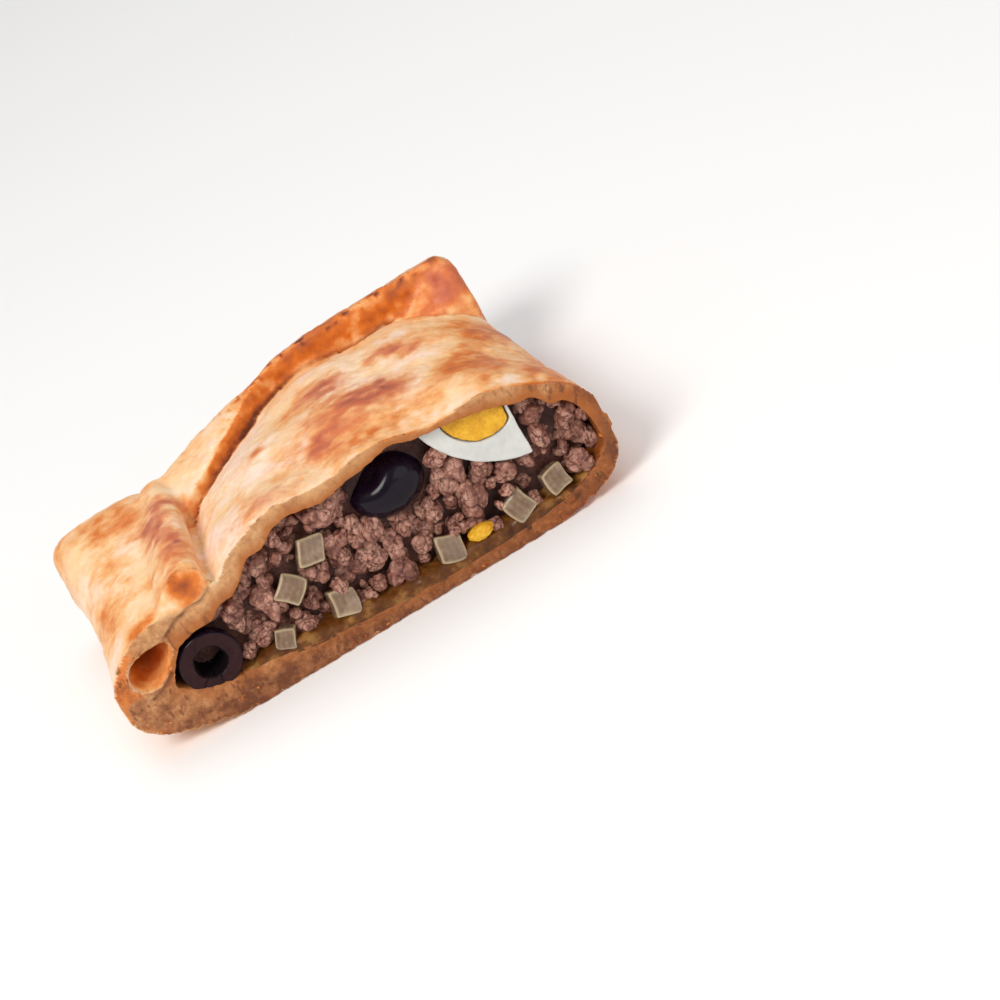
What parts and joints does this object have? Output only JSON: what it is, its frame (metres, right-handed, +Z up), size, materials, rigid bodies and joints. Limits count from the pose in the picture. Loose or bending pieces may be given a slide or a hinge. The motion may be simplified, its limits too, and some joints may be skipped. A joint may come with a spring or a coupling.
{
  "type": "empanada half",
  "caption": "Half of a baked, square-folded empanada, cut across to show a filling of mince, onion, olives and egg in a soft dough case.",
  "frame": {"origin": "middle of the flat underside, under the middle of the bounding box", "axes": "+Z up, -Y out of the knife's face, +X to the right of that face when it is looked at; the side flap is at -X"},
  "size_m": [0.1188, 0.0836, 0.0395],
  "materials": {
    "baked_dough": "golden baked dough, satin on top with browned folds, dry and pale where it is cut",
    "cooked_mince": "cooked minced beef, moist, pinkish brown",
    "black_olive": "wet purple-black skin",
    "boiled_egg_white": "smooth, slightly glossy and translucent",
    "boiled_egg_yolk": "crumbly, dull golden yellow",
    "cooked_onion": "soft, wet and translucent"
  },
  "bodies": {
    "root": {"crust": "baked_dough", "filling": "cooked_mince", "olive_whole": "black_olive", "olive_ring": "black_olive", "egg_white": "boiled_egg_white", "egg_yolk": "boiled_egg_yolk", "yolk_bit": "boiled_egg_yolk", "onion_dice_01": "cooked_onion", "onion_dice_02": "cooked_onion", "onion_dice_03": "cooked_onion", "onion_dice_04": "cooked_onion", "onion_dice_05": "cooked_onion", "onion_dice_06": "cooked_onion", "onion_dice_07": "cooked_onion"}
  },
  "joints": []
}
